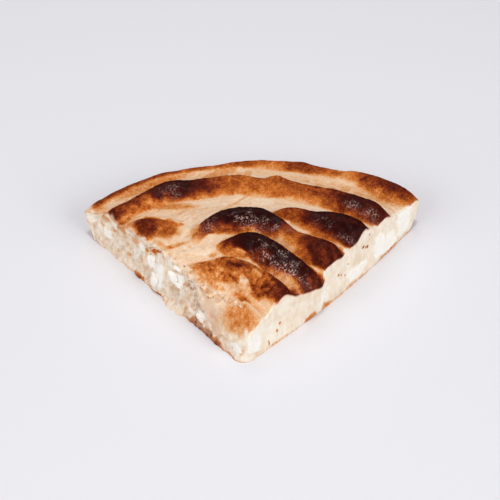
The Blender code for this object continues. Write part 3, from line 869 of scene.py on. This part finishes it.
def cut_relief(points, u):
    """How far the crumbling cut faces stand out, rough on the left and smooth on the right."""
    rough = 1 - 0.85 * smooth_step(0.3, 0.8, u)
    share, proud = curd_share(points, u)
    relief = CUT_WAVES * sampled(points, 7.0, 2) * (0.5 + 0.5 * rough)
    fibres = face_noise(points, u, 1.6, 9.0, 3)
    crumbs = face_noise(points, u, 2.4, 2.4, 4)
    place, half_width, depth = CREASE
    crease = depth * bell(along_cut(points, u) - place - 0.6 * crumbs, half_width) * (u > 0.5)
    coarse, fine = lumps(points, u)
    lumpy = COARSE_LUMPS * (0.5 - coarse) + FINE_LUMPS * (0.5 - fine)
    rugged = rough * (CUT_GRAIN * (fibres + crumbs) + lumpy)
    return relief + rugged * (1 - 0.4 * share) + proud - crease


def flap(points, u):
    """The bottom sheet where it sticks out of the left cut."""
    place, half_length, out = FLAP
    ragged = 1 + 0.4 * face_noise(points, u, 2.5, 9.0, 24)
    share = bell(along_cut(points, u) - place, half_length, 4) * (u < 0.5)
    return out * ragged * share * bell(points[:, 2], 1.5)


def cut_stains(points, u):
    """Level of the browned marks on the cuts."""
    tan = smooth_step(*TAN_FROM, face_noise(points, u, *TAN_SIZE, 27))
    level = tan * np.where(u < 0.5, *TAN_LEVELS) * (0.8 + face_noise(points, u, 1.6, 4.0, 28))
    for inside, stain in patches(points, u, LEFT_STAINS, RIGHT_STAINS, 0.35):
        level = np.maximum(level, stain * inside)
    return level


def base_browning_and_shade(points, u):
    """Level of the bottom crust where it shows as a thin uneven line at the foot of the cuts, with
    painted contact shade in the tall bands on the left.
    """
    along = along_cut(points, u)
    level = np.full(len(points), 2.0)
    reach = np.full(len(points), 0.7)
    for (place, half_length, browned, up), side in both_cuts(u, LEFT_BASE, RIGHT_BASE):
        share = bell(along - place, half_length, 4) * side
        level += share * (browned - level)
        reach += share * (up - reach)
    ragged = 1 + 0.6 * face_noise(points, u, 3.0, 30.0, 25)
    level += 1.4 * face_noise(points, u, 2.2, 30.0, 26)
    return np.maximum(level, 0) * bell(points[:, 2], reach * ragged, 4)


def panel(key, across, up, flip, kept_across=None, kept_up=None):
    """Faces of a part of the lattice. Its border has every row, also where few are kept inside."""
    kept_across = across if kept_across is None else kept_across
    kept_up = up if kept_up is None else kept_up
    faces = []
    for low, high in zip(kept_up, kept_up[1:]):
        inner_up = [b for b in up if low < b < high]
        for start, end in zip(kept_across, kept_across[1:]):
            inner_across = [a for a in across if start < a < end]
            bottom = [(a, low) for a in [start] + (inner_across if low == up[0] else [])]
            side = [(end, b) for b in [low] + (inner_up if end == across[-1] else [])]
            top = [(a, high) for a in [end] + (inner_across[::-1] if high == up[-1] else [])]
            back = [(start, b) for b in [high] + (inner_up[::-1] if start == across[0] else [])]
            face = [key(a, b) for a, b in bottom + side + top + back]
            faces.append(face[::-1] if flip else face)
    return faces


def level_panel(level, *rest):
    """Faces of a part of one level of the lattice."""
    return panel(lambda a, b: (a, b, level), *rest)


def row_panel(row, *rest):
    """Upright faces along one row of the lattice."""
    return panel(lambda a, b: (a, row, b), *rest)


def cut_panels(along, up):
    """Upright faces along both cuts."""
    faces = panel(lambda a, b: (0, a, b), along, up, True)
    return faces + panel(lambda a, b: (COLUMNS, a, b), along, up, False)


def every(last, step=1):
    """The numbers from 0 to the last, by the step."""
    return list(range(0, last + 1, step))


def thinned(rows, step):
    """Every so many of the rows, with both ends."""
    return sorted(set(rows[::step]) | {rows[-1]})


def hidden_layer(level, rows, flip, step):
    """A hidden layer of the lattice, coarse in the middle, that stays within the rough cuts and tip."""
    near, far = HIDDEN_EDGE, COLUMNS - HIDDEN_EDGE
    beside_cuts = [0] + rows[HIDDEN_TIP:]
    middle = list(range(near, far + 1, step))
    last = list(range(far, COLUMNS + 1, step))
    few = [0] + thinned(rows[HIDDEN_TIP:], HIDDEN_STEP)
    faces = level_panel(level, every(near, step), rows, flip, [0, near], beside_cuts)
    faces += level_panel(level, last, rows, flip, [far, COLUMNS], beside_cuts)
    return faces + level_panel(level, middle, rows, flip, thinned(middle, HIDDEN_STEP // step), few)


def mesh_object(name, points, faces, values):
    """A smooth mesh object from points in millimetres, with its attributes."""
    mesh = bpy.data.meshes.new(name)
    mesh.from_pydata(((points - ORIGIN) * MM).tolist(), [], faces)
    mesh.polygons.foreach_set("use_smooth", [True] * len(mesh.polygons))
    for title, numbers in values.items():
        attribute = mesh.attributes.new(title, "FLOAT", "POINT")
        attribute.data.foreach_set("value", numbers.astype(np.float32))
    piece = bpy.data.objects.new(name, mesh)
    bpy.context.scene.collection.objects.link(piece)
    return piece


def build(name, shown, hidden, place, body):
    """A mesh object from faces whose corners are lattice places, creased round its hidden faces."""
    faces = shown + hidden
    corners = np.array([corner for face in faces for corner in face])
    unique, index = np.unique(corners, axis=0, return_inverse=True)
    index = index.ravel()
    points, values = place(body, *unique.T)
    ends = np.cumsum([len(face) for face in faces])
    polygons = [index[end - len(face):end].tolist() for face, end in zip(faces, ends)]
    piece = mesh_object(name, points, polygons, values)
    mesh = piece.data
    edges = np.empty(len(mesh.loops), dtype=np.int32)
    mesh.loops.foreach_get("edge_index", edges)
    behind = np.repeat(np.arange(len(faces)) >= len(shown), [len(face) for face in faces])
    every_edge = np.arange(len(mesh.edges))
    between_both = np.isin(every_edge, edges[behind]) & np.isin(every_edge, edges[~behind])
    sharp = mesh.attributes.new("sharp_edge", "BOOLEAN", "EDGE")
    sharp.data.foreach_set("value", between_both)
    mesh.update()
    return piece


def pastry_heights(body, i, j, k):
    """Heights of the pastry's levels: base, rim, crust. The crust's rows crowd towards the top."""
    top = body.crust.height[column_at(i, j)]
    seam = body.seam[column_at(i, j)]
    base = BASE_THICKNESS * np.minimum(k / BASE_LEVELS, 1)
    rim = np.clip((k - BASE_LEVELS) / RIM_LEVELS, 0, 1) * (seam - BASE_THICKNESS)
    share = np.clip((k - BASE_LEVELS - RIM_LEVELS) / CRUST_ROWS, 0, 1)
    return base + rim + (1 - (1 - share) ** CROWDING) * (top - seam)


def seen(browning=0.0, skin=0.0, curd=0.0, pit=0.0, gloss=0.0):
    """The attributes that the materials read, each from 0 to 1."""
    return {"browning": browning, "skin": skin, "curd": curd, "pit": pit, "gloss": gloss}


def browned(level):
    """Share of browning for a level."""
    return np.clip(level / DARKEST, 0, 1)


def inside_values(body, column, points, u, level, skin):
    """Attributes for the colours of the crust and of the inside."""
    curd, _ = curd_share(points, u)
    # Stains, and the base line with its painted contact shade
    stain_and_base_shade = np.maximum(cut_stains(points, u), base_browning_and_shade(points, u)) * (1 - 0.8 * curd)
    skin = np.maximum(skin, np.minimum(stain_and_base_shade / STAIN_FULL, 1))
    on_top = points[:, 2] >= body.crust.height[column] - 0.01
    gloss = np.where(on_top, body.crust.gloss[column], 0)
    # Painted shade in the gaps, holes and greyer zones of the cuts, with their crumbs
    shade_and_crumb_share = np.maximum(cut_gap_shade(points, u), shaded_crumb_zone(points, u)) * (1 - curd)
    pit = np.where(on_top, body.pit_shade_and_dull[column], shade_and_crumb_share)
    return seen(browned(np.maximum(level, stain_and_base_shade)), skin, curd * ~on_top, pit, gloss)


def place_pastry(body, i, j, k):
    """Points of the pastry with their attributes."""
    height = pastry_heights(body, i, j, k)
    points = body.place(i, j, height)
    column = column_at(i, j)
    brown = body.crust.brown[column]
    depth = body.crust.height[column] - height
    wander = sampled(points, (7.0, 7.0, 4.0), 13)
    fading = bell(depth, SKIN_DEPTH + SKIN_DEEPER * brown) * (1 - body.raw[column])
    under, rim = (np.clip(middle + spread * wander, lowest, highest)
                  for middle, spread, lowest, highest in (UNDERSIDE, RIM_WALL))
    under = (height == 0) * under * ((i > 0) & (i < COLUMNS) & (j > 0))
    rim = (j == ROWS) * rim * (depth > 0)
    level = np.maximum.reduce([brown * np.where(depth > 0, fading, 1), under, rim])
    skin = np.maximum.reduce([fading, (under > 0) * 1.0, (rim > 0) * 1.0])
    return points, inside_values(body, column, points, i / COLUMNS, level, skin)


def make_pastry(body):
    """Base, rim and crust in one mesh round the filling."""
    across = every(COLUMNS)
    along = every(ROWS)
    inside = every(RIM_ROW)
    behind = along[RIM_ROW:]
    levels = every(BASE_LEVELS + RIM_LEVELS + CRUST_ROWS)
    base = levels[:BASE_LEVELS + 1]
    middle = levels[BASE_LEVELS:BASE_LEVELS + RIM_LEVELS + 1]
    crust = levels[BASE_LEVELS + RIM_LEVELS:]
    shown = level_panel(crust[-1], across, along, False)
    shown += row_panel(ROWS, across, levels, True)
    for rows in (base, crust):
        shown += row_panel(0, across, rows, False) + cut_panels(along, rows)
    shown += cut_panels(behind, middle)
    hidden = hidden_layer(0, along, True, 1)
    hidden += hidden_layer(crust[0], inside, True, 1)
    hidden += hidden_layer(base[-1], inside, False, 1)
    hidden += row_panel(RIM_ROW, across, middle, False, thinned(across, HIDDEN_STEP), middle)
    return build("pastry", shown, hidden, place_pastry, body)


def place_filling(body, i, j, k):
    """Points of the filling with their attributes."""
    column = column_at(i, j)
    height = BASE_THICKNESS + (body.seam[column] - BASE_THICKNESS) * k / FILLING_LEVELS
    points = body.place(i, j, height)
    bare = np.zeros(len(points))
    return points, inside_values(body, column, points, i / COLUMNS, bare, bare)


def make_filling(body):
    """The filling, fine at the cuts and at the tip and coarse where it is hidden."""
    across = every(COLUMNS, FILLING_STEP)
    inside = every(RIM_ROW)
    levels = every(FILLING_LEVELS)
    shown = row_panel(0, across, levels, False) + cut_panels(inside, levels)
    few = [thinned(rows, step) for rows, step in zip((across, levels), FILLING_FEW)]
    hidden = row_panel(RIM_ROW, across, levels, True, *few)
    hidden += hidden_layer(FILLING_LEVELS, inside, False, FILLING_STEP)
    hidden += hidden_layer(0, inside, True, FILLING_STEP)
    return build("filling", shown, hidden, place_filling, body)


def join_up(name, shapes):
    """One smooth mesh object of several shapes, each with its points, faces and attributes."""
    points, faces, values = zip(*shapes)
    starts = np.cumsum([0] + [len(part) for part in points]).tolist()
    moved = [[corner + start for corner in face] for start, part in zip(starts, faces) for face in part]
    joined = {title: np.concatenate([np.broadcast_to(value[title], len(part))
                                     for value, part in zip(values, points)]) for title in values[0]}
    return mesh_object(name, np.vstack(points), moved, joined)


def flake_sheet():
    """A thin round sheet: its points in plan, their radius from 0 to 1, and faces for both sides."""
    rings = np.arange(1, FLAKE_RINGS + 1) / FLAKE_RINGS
    angles = np.arange(FLAKE_SIDES) * 2 * np.pi / FLAKE_SIDES
    circle = np.column_stack([np.cos(angles), np.sin(angles)])
    disc = np.vstack([[0, 0], (rings[:, None, None] * circle).reshape(-1, 2)])
    radius = np.concatenate([[0], np.repeat(rings, FLAKE_SIDES)])
    count = len(disc)

    def spot(ring, side):
        return 0 if ring == 0 else 1 + (ring - 1) * FLAKE_SIDES + side % FLAKE_SIDES

    top = panel(spot, every(FLAKE_RINGS), every(FLAKE_SIDES), False)
    top = [face[:3] if face[0] == face[3] else face for face in top]
    below = [[corner + count for corner in face[::-1]] for face in top]
    border = [spot(FLAKE_RINGS, side) for side in range(FLAKE_SIDES + 1)]
    edge = [[start, start + count, end + count, end] for start, end in zip(border, border[1:])]
    return disc, radius, top + below + edge


def make_flakes():
    """Thin ragged sheets that lie on the crust with their edges lifted."""
    disc, radius, faces = flake_sheet()
    outline = raised(disc)
    shapes = []
    for seed, (x, y, half_length, half_width, turn, level, lift) in enumerate(FLAKES, 60):
        ragged = 1 + radius * (0.7 * sampled(outline, 0.8, seed) + 0.5 * sampled(outline, 0.3, seed))
        plan = turned(disc * (half_length, half_width) * ragged[:, None], -turn) + (x, y)
        rise = lift * radius**2 * (0.45 + 0.55 * sampled(outline, 1.3, seed + 1))
        upper = raised(plan, Crust(plan).height + 0.2 + np.maximum(rise, -0.1))
        points = np.vstack([upper, upper - (0, 0, FLAKE_THICKNESS)])
        mottled = 0.7 + 1.4 * sampled(upper, 2.6, 19) - 0.6 * radius**3
        shapes.append((points, faces, seen(np.tile(browned(level + mottled), 2), 1.0)))
    return join_up("flakes", shapes)


def unit_lump(seed, rounds):
    """A rounded lump of about unit size with an uneven surface."""
    ball = bmesh.new()
    bmesh.ops.create_icosphere(ball, subdivisions=rounds, radius=1.0)
    ball.verts.index_update()
    points = np.array([vertex.co for vertex in ball.verts])
    faces = [[vertex.index for vertex in face.verts] for face in ball.faces]
    ball.free()
    uneven = 1 + 0.5 * sampled(points, 0.9, seed) + 0.22 * sampled(points, 0.4, seed + 1)
    return points * uneven[:, None], faces


def make_crumbs():
    """Small crumbs that lie on the crust."""
    shapes = []
    for seed, (x, y, half_size, level) in enumerate(CRUMBS, 100):
        points, faces = unit_lump(seed, 2)
        height = Crust(np.array([[x, y]])).height[0]
        points = points * (1.3 * half_size, 0.8 * half_size, 0.6 * half_size) + (x, y, height)
        mottled = 2.0 * sampled(points, 0.9, 49)
        shapes.append((points, faces, seen(browned(level + mottled), 1.0)))
    return join_up("crumbs", shapes)


def make_curds(body):
    """White lumps half sunk in the left cut."""
    length = np.hypot(*(RIM_LEFT_BASE - TIP_LEFT_BASE))
    way = (RIM_LEFT_BASE - TIP_LEFT_BASE) / length
    shapes = []
    for seed, (along, height, half_length, half_height, out) in enumerate(LUMPS, 140):
        points, faces = unit_lump(seed, 4)
        row = np.array([round(along / length * ROWS)])
        middle = body.place(0 * row, row, np.array([float(height)]))[0]
        points = points * (half_length, half_height, out)
        plan = middle[:2] + points[:, :1] * way - points[:, 2:] * right_of(*LEFT_CUT)
        shapes.append((raised(plan, middle[2] + points[:, 1]), faces, seen(curd=1.0)))
    return join_up("curds", shapes)


def linear(colour):
    """Scene colour of red, green and blue from 0 to 255."""
    share = np.array(colour) / 255
    values = np.where(share <= 0.04045, share / 12.92, ((share + 0.055) / 1.055) ** 2.4)
    return (*values.tolist(), 1.0)


class Shader:
    """A material with short ways to add and join its nodes."""

    def __init__(self, name):
        self.material = bpy.data.materials.new(name)
        self.material.use_nodes = True
        self.tree = self.material.node_tree
        self.surface = self.tree.nodes["Principled BSDF"]

    def add(self, kind, inputs=(), **settings):
        """A new node with its settings made and its inputs joined or set."""
        node = self.tree.nodes.new("ShaderNode" + kind)
        for name, value in settings.items():
            setattr(node, name, value)
        for name, source in dict(inputs).items():
            self.join(source, node.inputs[name])
        return node

    def join(self, source, target):
        """Joins an output to an input, or sets the input to a number."""
        if isinstance(source, bpy.types.NodeSocket):
            self.tree.links.new(source, target)
        else:
            target.default_value = source

    def attribute(self, name):
        return self.add("Attribute", attribute_name=name).outputs["Fac"]

    def noise(self, size_mm, detail=3.0, stretch=(1.0, 1.0, 1.0)):
        """Noise from 0 to 1 over the piece's own coordinates."""
        place = self.add("TexCoord").outputs["Object"]
        place = self.add("Mapping", {"Vector": place, "Scale": stretch}).outputs[0]
        inputs = {"Vector": place, "Scale": 1 / (size_mm * MM), "Detail": detail}
        return self.add("TexNoise", inputs).outputs["Fac"]

    def math(self, operation, first, second, clamp=False):
        inputs = {0: first, 1: second}
        return self.add("Math", inputs, operation=operation, use_clamp=clamp).outputs[0]

    times = partialmethod(math, "MULTIPLY")
    plus = partialmethod(math, "ADD")
    minus = partialmethod(math, "SUBTRACT")

    def range(self, value, from_low, from_high, to_low, to_high):
        """Brings values from one range to another, and keeps them in it."""
        inputs = {"Value": value, "From Min": from_low, "From Max": from_high,
                  "To Min": to_low, "To Max": to_high}
        return self.add("MapRange", inputs).outputs[0]

    def ramp(self, value, stops):
        """The colour at a value from 0 to 1, between stops of place and colour."""
        node = self.add("ValToRGB", {0: value})
        elements = node.color_ramp.elements
        while len(elements) < len(stops):
            elements.new(0.5)
        for element, (position, colour) in zip(elements, stops):
            element.position = position
            element.color = linear(colour)
        return node.outputs[0]

    def mix(self, share, first, second):
        first, second = (colour if isinstance(colour, bpy.types.NodeSocket) else linear(colour)
                         for colour in (first, second))
        return self.add("Mix", {0: share, 6: first, 7: second}, data_type="RGBA").outputs[2]

    def bump(self, height, distance_mm, strength):
        inputs = {"Height": height, "Strength": strength, "Distance": distance_mm * MM}
        return self.add("Bump", inputs).outputs[0]

    def set(self, **values):
        """Joins or sets inputs of the surface."""
        for name, value in values.items():
            self.join(value, self.surface.inputs[name.replace("_", " ")])


def inside_colour(shader):
    """Cream dough and white curds in vertical fibres."""
    fibres = shader.noise(3.2, 4.0, (1.0, 1.0, 0.45))
    clouds = shader.noise(13.0, 2.0)
    share = shader.plus(shader.times(fibres, 0.55), shader.times(clouds, 0.45))
    dough = shader.ramp(share, DOUGH_COLOURS)
    curd = shader.ramp(shader.noise(2.0, 3.0), CURD_COLOURS)
    return shader.mix(shader.attribute("curd"), dough, curd)


def food_material(name):
    """Baked crust or raw inside, as the attributes of the piece tell."""
    shader = Shader(name)
    level = shader.attribute("browning")
    skin = shader.attribute("skin")
    gloss = shader.attribute("gloss")
    fine = shader.minus(shader.noise(0.9, 3.0), 0.5)
    small = shader.minus(shader.noise(2.2, 4.0), 0.5)
    middle = shader.times(shader.minus(1.05, level), level)
    mottle = shader.plus(shader.times(fine, 1.9), shader.times(small, 1.2))
    level = shader.plus(level, shader.times(mottle, middle), clamp=True)
    # Painted highlights: pale speckles in clusters on the glossy patches, mixed into the crust's colour
    glint_clusters = shader.range(shader.noise(6.0, 2.0, (0.7, 1.0, 1.0)), 0.4, 0.6, 0.0, 1.0)
    painted_glints = shader.range(shader.noise(1.15, 5.0), 0.49, 0.62, 0.0, 1.0)
    painted_glints = shader.times(shader.times(painted_glints, gloss), glint_clusters, clamp=True)
    crust = shader.mix(painted_glints, shader.ramp(level, CRUST_COLOURS), PAINTED_GLINT_COLOUR)
    colour = shader.mix(skin, inside_colour(shader), crust)
    # Painted shade with crumbs: the colour goes towards the shade and crumb colour by the attribute's
    # share
    grain = shader.range(shader.noise(1.2, 3.0), 0.38, 0.62, -0.3, 0.35)
    crumbs = shader.plus(0.56, shader.times(grain, shader.minus(1.0, skin)))
    shade_and_crumb_share = shader.times(shader.attribute("pit"), crumbs, clamp=True)
    colour = shader.mix(shade_and_crumb_share, colour, SHADE_AND_CRUMB_COLOUR)
    rough = shader.range(level, 0.4, 0.9, *ROUGHNESS)
    rough = shader.minus(rough, shader.times(gloss, GLOSS_SMOOTHS), clamp=True)
    relief = shader.times(shader.noise(1.3, 3.0), shader.range(gloss, 0.0, 1.0, 0.35, 1.0))
    shader.set(Base_Color=colour, Roughness=rough, Normal=shader.bump(relief, 0.3, 0.8))
    shader.set(Specular_IOR_Level=SPECULAR)
    shader.set(Coat_Weight=shader.times(gloss, COAT), Coat_Roughness=COAT_ROUGHNESS)
    return shader.material


def dress(piece, material, slot, *nodes):
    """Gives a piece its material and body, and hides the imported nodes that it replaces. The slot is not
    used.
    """
    piece.data.materials.append(material)
    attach(piece, "root")
    if nodes:
        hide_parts(*nodes)


def make_floor():
    bpy.ops.mesh.primitive_plane_add(size=FLOOR_SIZE)
    floor = bpy.context.object
    floor.name = "floor"
    shader = Shader("pale_floor")
    shader.set(Base_Color=linear(FLOOR_COLOUR), Roughness=0.6)
    floor.data.materials.append(shader.material)


def aim(item, place, target=(0, 0, 0)):
    """Puts a camera or a lamp in place, turned towards the target."""
    item.location = place
    item.rotation_euler = (Vector(target) - Vector(place)).to_track_quat("-Z", "Y").to_euler()
    bpy.context.scene.collection.objects.link(item)


def make_studio():
    """Lights the scene and sets up the camera."""
    world = bpy.data.worlds.new("studio")
    world.use_nodes = True
    world.node_tree.nodes["Background"].inputs["Color"].default_value = WORLD_COLOUR
    world.node_tree.nodes["Background"].inputs["Strength"].default_value = WORLD_STRENGTH
    bpy.context.scene.world = world
    for name, place, size, power in LAMPS:
        lamp = bpy.data.lights.new(name, "AREA")
        lamp.shape = "DISK"
        lamp.size = size
        lamp.energy = power
        aim(bpy.data.objects.new(name, lamp), place)
    lens = bpy.data.cameras.new("camera")
    lens.angle = math.radians(FIELD_OF_VIEW)
    camera = bpy.data.objects.new("camera", lens)
    aim(camera, CAMERA_AT, CAMERA_AIM)
    bpy.context.scene.camera = camera
    bpy.context.scene.view_settings.view_transform = "Standard"


def main():
    body = Slice()
    baked = food_material("baked_pastry")
    cheese = food_material("white_cheese")
    dress(make_pastry(body), baked, "baked_pastry", "pastry_shell")
    dress(make_filling(body), cheese, "white_cheese", "cheese_filling")
    dress(make_flakes(), baked, "baked_pastry")
    dress(make_crumbs(), baked, "baked_pastry")
    dress(make_curds(body), cheese, "white_cheese")
    make_floor()
    make_studio()


main()
